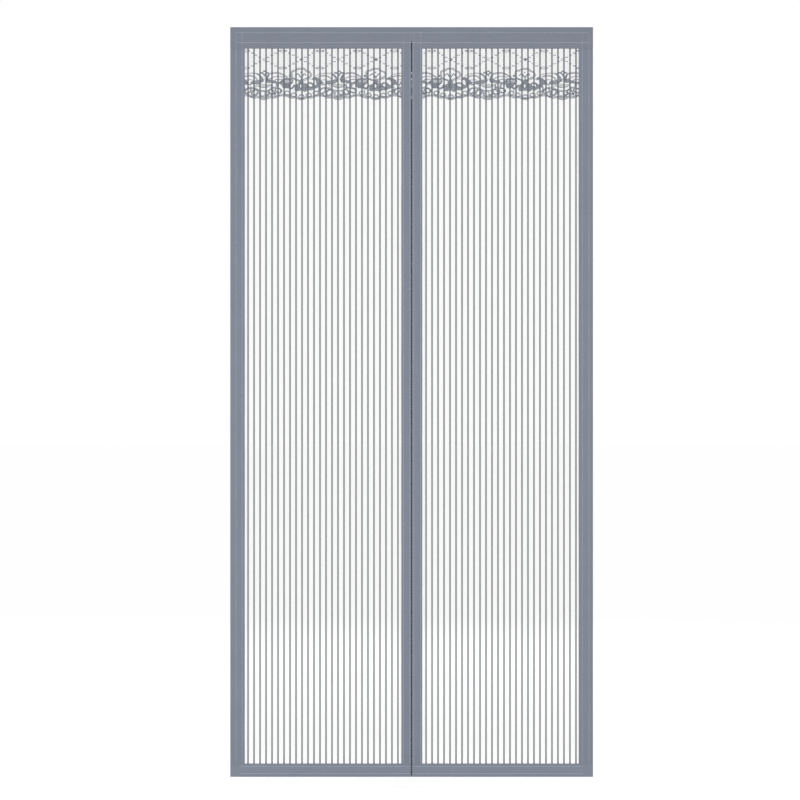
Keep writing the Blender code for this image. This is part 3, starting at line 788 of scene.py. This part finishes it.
class Lace:
    """Draws lace in units from a motif's centre: u to the right and v down from the header.

    Places on curves and outlines are given flat, as u, v, u, v and so on. share is how much of a
    width or an area the thread covers.
    """

    def __init__(self, side):
        low, high = BOX[side + "_lace_valance"]
        self.level = (low.y + high.y) / 2
        self.top = high.z
        self.left, self.right = low.x + LACE_MARGIN, high.x - LACE_MARGIN
        self.shape = Shape()
        self.centre = 0.0

    def place(self, points, lift):
        """Units to metres on the hanging lace; lift is towards the front."""
        points = np.asarray(points, float)
        x = self.centre + points[..., 0] * UNIT
        z = HEADER_EDGE - points[..., 1] * UNIT
        return xyz(x, self.level - belly(x, z) - lift, z)

    def cord(self, width, share, *places, closed=False):
        """Strands side by side along a smooth curve; width may be one at each end."""
        line = smooth(np.reshape(places, (-1, 2)), closed)
        ahead = heading(line, closed, 0)
        across = np.stack([-ahead[:, 1], ahead[:, 0]], axis=-1)
        across /= np.linalg.norm(across, axis=-1, keepdims=True)
        wide = np.linspace(*np.broadcast_to(width, 2), len(line))
        strands = max(1, round(float(wide.mean()) / STRAND_PITCH))
        for strand in range(strands):
            shift = ((strand + 0.5) / strands - 0.5) * wide
            self.strand(line + across * shift[:, None], wide * share / strands, closed)

    def ring(self, width, share, *shape):
        """Strands round an oval."""
        self.cord(width, share, *np.ravel(oval(*shape)), closed=True)

    def strand(self, line, wide, closed=False):
        """One strand, cut off where the lace ends under the bindings."""
        line = self.place(line, STRAND_LIFT)
        half = wide * UNIT / 2
        inside = (line[:, 0] > self.left) & (line[:, 0] < self.right)
        if inside.all():
            add_tubes(self.shape, line[None], half[None], STRAND_HEIGHT / 2, STRAND_SIDES, closed)
            return
        if closed:
            line, half, inside = (np.concatenate([a, a[:1]]) for a in (line, half, inside))
        bounds = np.flatnonzero(np.diff(np.concatenate([[False], inside, [False]]).astype(int)))
        for start, end in zip(bounds[::2], bounds[1::2]):
            if end - start > 1:
                kept, wide = line[None, start:end], half[None, start:end]
                add_tubes(self.shape, kept, wide, STRAND_HEIGHT / 2, STRAND_SIDES)

    def fill(self, share, *outline, hole=None):
        """Rows of thread laid across an area, as dense knitting."""
        rings = [smooth(np.reshape(outline, (-1, 2)), True)]
        if hole:
            rings.append(np.array(hole))
        low, high = rings[0][:, 1].min(), rings[0][:, 1].max()
        left = (self.left - self.centre) / UNIT
        right = (self.right - self.centre) / UNIT
        rows = []
        for v in np.arange(math.ceil(low / ROW_PITCH) * ROW_PITCH, high, ROW_PITCH):
            cuts = []
            for ring in rings:
                after = np.roll(ring, -1, axis=0)
                crossing = (ring[:, 1] > v) != (after[:, 1] > v)
                part = (v - ring[crossing, 1]) / (after[crossing, 1] - ring[crossing, 1])
                cuts.extend(ring[crossing, 0] + part * (after[crossing, 0] - ring[crossing, 0]))
            cuts.sort()
            for start, end in zip(cuts[::2], cuts[1::2]):
                start, end = max(start, left), min(end, right)
                if end - start > 0.3:
                    rows.append([(start, v), (end, v)])
        if rows:
            half = ROW_PITCH * share * UNIT / 2
            add_tubes(self.shape, self.place(rows, 0.0), half, ROW_HEIGHT / 2, 4)

    def spot(self, share, *shape):
        """Rows of thread laid across an oval."""
        self.fill(share, *np.ravel(oval(*shape)))

    def dot(self, u, v, wide, high):
        """A small thick oval spot."""
        rim = np.array(oval(u, v, wide, high, steps=8))[::-1]
        top = np.array(oval(u, v, wide * 0.6, high * 0.6, steps=8))[::-1]
        levels = [self.place(rim, -0.00005), self.place(rim, 0.0001), self.place(top, 0.00025)]
        if levels[0][:, 0].min() < self.left or levels[0][:, 0].max() > self.right:
            return
        self.shape.add(np.stack(levels), ring_faces(1, 3, 8), cap_faces(1, 3, 8))

    def mark(self, u, v):
        """A knot of the lattice: two spots side by side."""
        for way in (-1, 1):
            self.dot(u + way * 0.72, v, 0.52, 0.74)


def draw_lattice(lace):
    """Rows and slanting lines of marks that make hexagons above the flowers."""
    right, down = LATTICE_STEP
    for mirror in (-1, 1):
        for k in range(1, 5):
            for way in (-1, 1):
                lace.mark(mirror * (LATTICE_START + right * k), LATTICE_MIDDLE + way * down * k)
    for way in (-1, 1):
        lace.spot(0.3, HALF_REPEAT / 2, LATTICE_MIDDLE + way * LATTICE_REACH, 4.4, 1.8)


def draw_palmette(lace):
    """The fan of petals over a bowl, with a leaf on each side."""
    # Crown
    lace.cord(1.4, 0.95, -4.6, 24.3, -2.8, 24.3, -1.3, 24.6, -0.6, 25.6)
    lace.cord(1.4, 0.95, 4.8, 24.5, 3.2, 24.3, 1.9, 24.6, 1.3, 25.6)
    lace.cord(1.1, 0.8, -1.2, 24.2, -0.7, 22.9, 0.7, 22.4, 2, 22.9, 2.2, 24.2)
    lace.dot(0.7, 22.7, 0.9, 0.7)
    lace.fill(0.8, -0.9, 25.4, 1.5, 25.4, 1.3, 26.8, 0.4, 28.2, -0.5, 26.8)
    lace.cord(1.2, 0.4, 0.3, 29.8, 0.3, 31.6)
    # Left leaf
    lace.cord((1, 1.5), 0.5, -22.8, 27.8, -20.4, 26, -16.6, 25, -11.6, 24.6, -7.6, 24.9)
    lace.cord((1.5, 2.6), 0.85, -7.6, 24.8, -5.6, 25.9, -4, 27.3, -2.5, 29.3, -1.4, 31.4, -1.7, 33)
    lace.cord(1.6, 0.65, -20.5, 28.4, -17, 27.3, -13, 27.2, -9.9, 28.2, -7.8, 29.8, -6.6, 31.6)
    lace.cord(1.1, 0.5, -17.5, 31.8, -15, 31.2, -12, 31.3, -10.6, 32)
    # Right leaf
    lace.cord((3.2, 1.3), 0.9, 2.7, 31.8, 2.9, 30.3, 3.3, 28.8, 4, 27.2, 5, 25.6)
    lace.cord(1.8, 0.65, 4.8, 25.6, 7, 24.9, 10.6, 24.4, 14.5, 24.5, 17.8, 25.6, 20.8, 27.4, 23.6, 28.7)
    lace.cord(1.3, 0.55, 3.8, 31, 6.4, 30, 9, 28.8, 12.4, 27.9, 16.5, 28, 19.8, 29.1)
    lace.cord(1.2, 0.65, 10.8, 31.4, 12.8, 31, 15, 30.7, 17, 31)
    # Swag
    lace.fill(0.8, -13, 33.2, -10.6, 32.2, -8, 31.6, -5.5, 31.2, -3.6, 30.8, -2, 31.8, -1.8, 33.6,
        -3.8, 35, -7, 35.5, -11.8, 35.5, -13.4, 34.8)
    lace.spot(0.85, -16.1, 34.2, 1.1, 1.2)
    lace.fill(0.85, 12.8, 33, 11.4, 31.9, 8.6, 31.5, 6.2, 30.9, 3.6, 30.6, 2, 31, 1.8, 32.4,
        2.4, 33.8, 4.8, 34.3, 8, 34.2, 12.4, 34.2)
    lace.cord(1.2, 0.8, -17, 36.3, -14.6, 36, -12.6, 35.2)
    lace.cord(1.9, 0.85, 12.6, 35, 14.4, 34.5, 16.2, 33.8, 17.8, 32.8, 20, 32.2)
    lace.cord(1.2, 0.8, 15.2, 34.6, 16.6, 35.4, 17.6, 36.2)
    # Bowl
    lace.fill(0.4, -8.4, 35.6, -4.5, 35, 0, 35.3, 4.5, 35, 7, 35.6, 6.4, 36.9, 4.5, 38, 0, 38.8,
        -4.5, 38.2, -6.4, 37.3)
    lace.cord(0.9, 0.75, -6, 37.4, -3.4, 38.4, 0, 38.9, 3.4, 38.5, 5.8, 37.5)
    lace.cord(1.4, 0.7, -14.6, 38.9, -11, 39.9, -8, 40.3, -5, 41.6, -2, 42.2, 2, 42.2, 5.6, 41.4,
        7.6, 39.8, 7.4, 37.6, 6.4, 36.2)
    lace.cord(1, 0.5, -7.2, 36.2, -7.4, 37.6, -8.2, 39.2)
    lace.ring(0.9, 0.5, -11.1, 37.2, 2.6, 1.7, 25)
    lace.ring(1.1, 0.75, 10.1, 36.6, 2.6, 2.4)
    lace.cord(1.1, 0.7, 15, 35.9, 13.4, 36.8, 13, 38.2, 14.6, 39.9, 17, 40.6)
    # Shell of petals
    lace.ring(1.6, 0.8, -15.9, 42.2, 3.3, 2.2, -40)
    lace.ring((2.1, 1.9), 0.8, -9.1, 44, 3.5, 2.5, -42)
    lace.ring(1.4, 0.55, -1.2, 45, 2.4, 2.4)
    lace.ring(1.6, 0.85, 7.5, 43.3, 2.8, 2.1, 45)
    lace.ring(1.6, 0.85, 14.4, 41.9, 3.3, 2.1, 22)
    lace.spot(0.8, 17.2, 42.2, 1.2, 1.2)
    lace.cord(1.5, 0.7, 10.9, 43.4, 11.3, 44.6, 11.3, 46)
    lace.cord(1.2, 0.8, 6.6, 38.7, 8.2, 39.5, 10.4, 39.7)
    lace.fill(0.85, 9.6, 44.6, 11.8, 44, 12.2, 45.6, 10.6, 46.6)
    lace.cord(1.3, 0.7, -4.6, 42.8, -4.2, 44.6, -4.6, 46.8, -3.4, 48)
    lace.cord(1.2, 0.8, 3.2, 43, 4.4, 44.4, 5.2, 46.4)
    lace.fill(0.8, 1.2, 45.4, 4.6, 45.2, 4.4, 47.4, 1.4, 47.8)
    lace.cord(1.5, 0.75, -3.4, 47.7, -1, 48.4, 1.6, 48.3, 4.4, 47.6)
    lace.cord(1.2, 0.7, -18, 45.6, -15.6, 46.4, -13.2, 48, -10, 48.8)
    lace.cord(1.2, 0.5, 6, 47.2, 11, 47.4, 13.8, 46.8, 16.8, 46.4)


def draw_rose(lace):
    """The rose under its cap, with a bud on the left and a curled leaf on the right."""
    # Cap
    lace.cord(2, 0.62, -8.6, 29.2, -9.4, 27.4, -9.6, 24.9, -9.2, 22.9, -7.2, 22.1, -4.8, 21.7, -3, 20.1,
        0, 20.4, 2.8, 20, 4, 21.5, 6, 22.7, 8.3, 23.5, 9.5, 25.3, 9.6, 27.4, 7.4, 28.9, 5.2, 29.4)
    lace.spot(0.85, -11.2, 27.3, 1.3, 1.3)
    # Fan
    lace.cord((0.9, 1.6), 0.85, -6.4, 27, -5, 26.4, -3.9, 25.3, -2.8, 25.4, -1.8, 26.9, 0, 28.8)
    lace.cord((0.9, 1.5), 0.8, 4.2, 27.4, 4.3, 26, 3.5, 25.2, 2.6, 25.5, 1.6, 26.8, 0, 28.6)
    lace.cord(1.4, 0.7, 0, 28.2, 0, 29.8, 0, 31.8)
    lace.dot(-0.3, 23.9, 0.7, 0.8)
    lace.cord(1.6, 0.9, -10.2, 29.6, -7.6, 30.1, -5.6, 30.9, -3.8, 31.5, -2, 31.8)
    lace.cord(1.3, 0.65, 1.4, 31.6, 2.8, 30.6, 5.2, 29.8)
    # Bud with ribs
    lace.fill(0.88, -20.8, 31.4, -18, 30, -14.4, 29.3, -11, 29.8, -9, 30.8, -8.6, 31.4, -14, 31.3)
    lace.fill(0.55, -20.2, 31.6, -14, 31.5, -8.6, 31.6, -8.4, 33.4, -14, 33.5, -20.2, 33.4)
    lace.fill(0.82, -20.2, 33.6, -14, 33.7, -8.4, 33.6, -9.6, 35.2, -11.4, 36, -19.4, 35.9)
    lace.fill(0.9, -19.2, 36.2, -11.6, 36.2, -12.4, 38.2, -13.4, 39.8, -17.6, 39.7, -18.8, 38.2)
    lace.cord(1.1, 0.8, -8.6, 31.2, -8.8, 33.8, -10.8, 35.7, -12.4, 37.8)
    lace.cord(2, 0.9, -13, 38.6, -11.8, 39.4, -10, 39.9, -8.6, 39.2, -7.6, 37.9, -6.4, 36.2)
    # Rose
    lace.fill(0.88, -1.8, 31.8, 0.2, 30.8, 2, 31.4, 2, 33.2, 1.4, 35.2, -1.8, 35.2, -3.1, 33.8)
    lace.fill(0.82, -4.9, 35.9, -2.2, 34.8, 2, 34.7, 5.6, 35.2, 6.4, 37.4, 8.4, 38.6, 11, 38.6,
        12.6, 37.2, 13, 36.2, 16, 36.4, 17, 37, 17, 38.6, 15.4, 39.5, 12.4, 40.6, 10.6, 41.6,
        8, 41.5, 6, 42, 4.4, 43.3, 2.6, 43, 1, 42.2, -1.2, 42.2, -3.2, 42.6, -6.1, 42.3,
        -6.8, 39.4, hole=oval(-0.4, 37.4, 0.9, 1.7))
    lace.ring(0.9, 0.9, -0.4, 37.4, 1.4, 2.3)
    lace.ring(1.3, 0.85, 8.8, 36.5, 2.9, 2, 25)
    lace.cord(0.9, 0.8, -5.8, 36.4, -3.6, 38.4, -3.6, 41.2)
    lace.cord(0.9, 0.8, 3, 35.2, 4.8, 37.6, 4.4, 41.4)
    # Curled leaf
    lace.cord(0.8, 0.6, 2.4, 34.6, 2.8, 32.6, 4.6, 31.2, 7.6, 30.4, 10.8, 30.6)
    lace.cord(1.5, 0.85, 6, 35.3, 7.4, 34.6, 9.2, 34.4, 11.2, 35.1, 12.6, 36.2, 13.4, 37.2)
    lace.fill(0.88, 10.6, 30.8, 12, 29, 14, 28.4, 16.4, 29.2, 19, 31, 20.6, 32.9, 20.6, 35.4,
        18.4, 36.4, 15.4, 36.4, 15, 34.4, 14.7, 32.4, 13.4, 31.4)
    lace.cord(1.5, 0.8, 16.9, 36.6, 17.4, 38, 17.9, 39.6)
    lace.fill(0.8, 17, 40.2, 18.4, 39.4, 19.2, 41, 18.2, 43.4, 16.6, 43.4)
    # Chain of small rings over the scallop
    for u, v in ((-14.0, 44.6), (-7.4, 46.5), (0.1, 48.2), (7.5, 46.6), (14.6, 44.7)):
        lace.ring(1.6, 0.65, u, v, 2.6, 1.9)
    lace.spot(0.4, 0.2, 49.6, 2.8, 1.2)
    lace.cord(1.1, 0.5, -16.4, 46.8, -13, 46.6, -9.6, 47.6)
    lace.cord(1.2, 0.6, -11.8, 40.6, -11.3, 42.2, -11.3, 43.8)
    lace.cord(1.1, 0.5, 5.2, 48.6, 8, 48.7, 10.2, 47.9)


def draw_edge(lace):
    """The scalloped edge: strands close together that follow the lobes."""
    steps = 44
    u = HALF_REPEAT * (np.arange(steps + 1) / steps - 0.5)
    for up, wide in EDGE_STRANDS:
        lace.strand(np.stack([u, edge_depth(u) - up], axis=-1), np.full(len(u), wide))


def add_uprights(lace, places, tops, feet, width):
    """Threads that hang from top to foot, each at its own x."""
    share = np.linspace(0, 1, 6)
    z = tops[:, None] + (feet - tops)[:, None] * share
    x = places[:, None]
    lines = xyz(x, lace.level - belly(x, z), z)
    add_tubes(lace.shape, lines, width / 2, width / 2, 3)


def add_ground(lace):
    """The fine net behind the motifs: upright pillars, more inside the hexagons, and slanting threads."""
    x = np.arange(lace.left, lace.right, PILLAR_PITCH)
    foot = HEADER_EDGE - edge_depth((x - LACE_PHASE) / UNIT) * UNIT
    add_uprights(lace, x, np.full(len(x), lace.top), foot, PILLAR)
    x = x[:-1] + PILLAR_PITCH / 2
    reach = np.minimum(from_motif((x - LACE_PHASE) / UNIT) * HEXAGON_SLOPE, LATTICE_REACH)
    middle = HEADER_EDGE - LATTICE_MIDDLE * UNIT
    inside = reach > 1.0
    add_uprights(lace, x[inside], middle + reach[inside] * UNIT, middle - reach[inside] * UNIT, PILLAR / 2)
    drop = lace.top - (HEADER_EDGE - LOWEST_LOBE * UNIT)
    down = np.linspace(0, drop, 9)
    for way in (-1, 1):
        for start in np.arange(lace.left - drop, lace.right + drop, DIAGONAL_PITCH):
            px, pz = start + way * down, lace.top - down
            inside = (px > lace.left) & (px < lace.right)
            inside &= (HEADER_EDGE - pz) / UNIT < edge_depth((px - LACE_PHASE) / UNIT)
            if inside.sum() > 1:
                px, pz = px[inside], pz[inside]
                line = xyz(px, lace.level - belly(px, pz) + way * DIAGONAL, pz)
                add_tubes(lace.shape, line[None], DIAGONAL / 2, DIAGONAL / 2, 3)


def make_lace(side):
    lace = Lace(side)
    add_ground(lace)
    reach = HALF_REPEAT * UNIT * 0.6
    first = math.floor((lace.left - LACE_PHASE - reach) / (HALF_REPEAT * UNIT))
    last = math.ceil((lace.right - LACE_PHASE + reach) / (HALF_REPEAT * UNIT))
    for index in range(first, last + 1):
        lace.centre = LACE_PHASE + index * HALF_REPEAT * UNIT
        draw_lattice(lace)
        draw_edge(lace)
        if index % 2:
            draw_rose(lace)
            lace.dot(0.2, LATTICE_MIDDLE, 1.5, 1.3)
            lace.spot(0.3, 0.2, LATTICE_MIDDLE, 2.2, 1.7)
        else:
            draw_palmette(lace)
            lace.spot(0.25, 0.2, LATTICE_MIDDLE, 2.2, 2.0)
    piece = lace.shape.make(side + "_lace", MATERIALS["lace"])
    dress(piece, "lace", side + "_lace_valance")


def bar(name, low, high, rounding, lengthwise, material):
    """A bar along X or Z whose edges and ends are rounded."""
    along = "XYZ".index(lengthwise)
    first, second = (axis for axis in range(3) if axis != along)
    middle, half = (high + low) / 2, (high - low) / 2
    turn = np.linspace(0.1 * math.pi, math.pi / 2, 4)
    step, inset = rounding * (1 - np.cos(turn)), rounding * (1 - np.sin(turn))
    reach = np.concatenate([step - half[along], (half[along] - step)[::-1]])[:, None]
    radius = rounding - np.concatenate([inset, inset[::-1]])[:, None]
    right = np.repeat([1, -1, -1, 1], 4)
    up = np.repeat([1, 1, -1, -1], 4)
    angle = np.add.outer(np.arange(4) * math.pi / 2, np.linspace(0, math.pi / 2, 4)).ravel()
    points = np.zeros((len(reach), len(angle), 3))
    points[..., along] = reach
    points[..., first] = right * (half[first] - rounding) + radius * np.cos(angle)
    points[..., second] = up * (half[second] - rounding) + radius * np.sin(angle)
    layout = (1, len(reach), len(angle))
    shape = Shape()
    shape.add(points + middle, ring_faces(*layout), cap_faces(*layout))
    piece = shape.make(name, material)
    piece.data.set_sharp_from_angle(angle=math.radians(40))
    return piece


def make_bars():
    """The magnets, which touch along the slit, and the steel weights in the hems."""
    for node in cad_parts:
        low, high = (np.array(corner) for corner in BOX[node])
        if "magnet" in node:
            inner = low if low[0] > 0 else high
            inner[0] = math.copysign(MAGNET_GAP / 2, inner[0])
            low[2] -= MAGNET_GROWTH
            high[2] += MAGNET_GROWTH
            piece = bar(node.replace("strip", "bar"), low, high, MAGNET_ROUNDING, "Z", MATERIALS["rubber"])
            dress(piece, "magnet_rubber", node)
        elif "weight" in node:
            piece = bar(node.replace("weight", "rod"), low, high, WEIGHT_ROUNDING, "X", MATERIALS["steel"])
            dress(piece, "weight_steel", node)


def make_tacks():
    """Bar tacks that sew the curtains together across the top of the slit, in zigzag passes of thread."""
    shape = Shape()
    for middle, height, pitch in TACKS:
        count = 2 * round(height / pitch / 2) + 1
        z = middle + height * (np.arange(count) / (count - 1) - 0.5)
        x = TACK_REACH * np.where(np.arange(count) % 2, 1.0, -1.0)
        path = xyz(x, BINDING_FRONT - TACK_RADIUS, z)
        passes = np.stack([path[:-1], path[1:]], axis=1)
        add_tubes(shape, passes, TACK_RADIUS, TACK_RADIUS, 6)
    dress(shape.make("slit_tacks", MATERIALS["thread"]), "binding_cloth")


def make_stage():
    """A pale floor just under the hem, a white world and a lamp on each side of the screen."""
    mesh = bpy.data.meshes.new("floor")
    corners = [(x * FLOOR_SIZE, y * FLOOR_SIZE, 0.0) for x, y in ((-1, -1), (1, -1), (1, 1), (-1, 1))]
    mesh.from_pydata(corners, [], [(0, 1, 2, 3)])
    mesh.materials.append(floor_material())
    floor = new_object("floor", mesh)
    floor.location.z = BOTTOM - FLOOR_DROP

    world = bpy.data.worlds.new("studio")
    bpy.context.scene.world = world
    world.use_nodes = True
    tree = world.node_tree
    background = tree.nodes["Background"]
    strength = from_to(tree, seen_directly(tree), (0.0, 1.0), WORLD_STRENGTH)
    tree.links.new(strength, background.inputs["Strength"])
    background.inputs["Color"].default_value = (1.0, 1.0, 1.0, 1.0)

    middle = (TOP + BOTTOM) / 2
    for name, (x, y, z), size, power in LAMPS:
        data = bpy.data.lights.new(name, "AREA")
        data.shape = "DISK"
        data.size = size
        data.energy = power
        lamp = new_object(name, data)
        lamp.location = (x, y, middle + z)
        lamp.rotation_euler = direction((x, y, middle + z), (0, 0, middle))


def direction(place, target):
    """Angles that point an object's -Z at a target."""
    x, y, z = (b - a for a, b in zip(place, target))
    return (math.pi / 2 + math.atan2(z, math.hypot(x, y)), 0.0, math.atan2(-x, y))


def make_camera():
    """The photo's view: straight from the front and far enough to be nearly flat."""
    data = bpy.data.cameras.new("camera")
    data.sensor_width = SENSOR
    data.lens = SENSOR * CAMERA_DISTANCE / PHOTO_WIDTH
    data.clip_end = 200.0
    camera = new_object("camera", data)
    camera.location = (PHOTO_RIGHT, FRONT - CAMERA_DISTANCE, PHOTO_UP)
    camera.rotation_euler = (math.pi / 2, 0.0, 0.0)
    bpy.context.scene.camera = camera
    bpy.context.scene.view_settings.view_transform = "Standard"


make_camera()
make_stage()
make_header()
for side, sign in SIDES.items():
    make_outer_binding(side, sign)
    make_inner_binding(side, sign)
    make_hem(side, sign)
    make_net(side, sign)
    make_lace(side)
make_stitching()
make_tacks()
make_tapes()
make_bars()
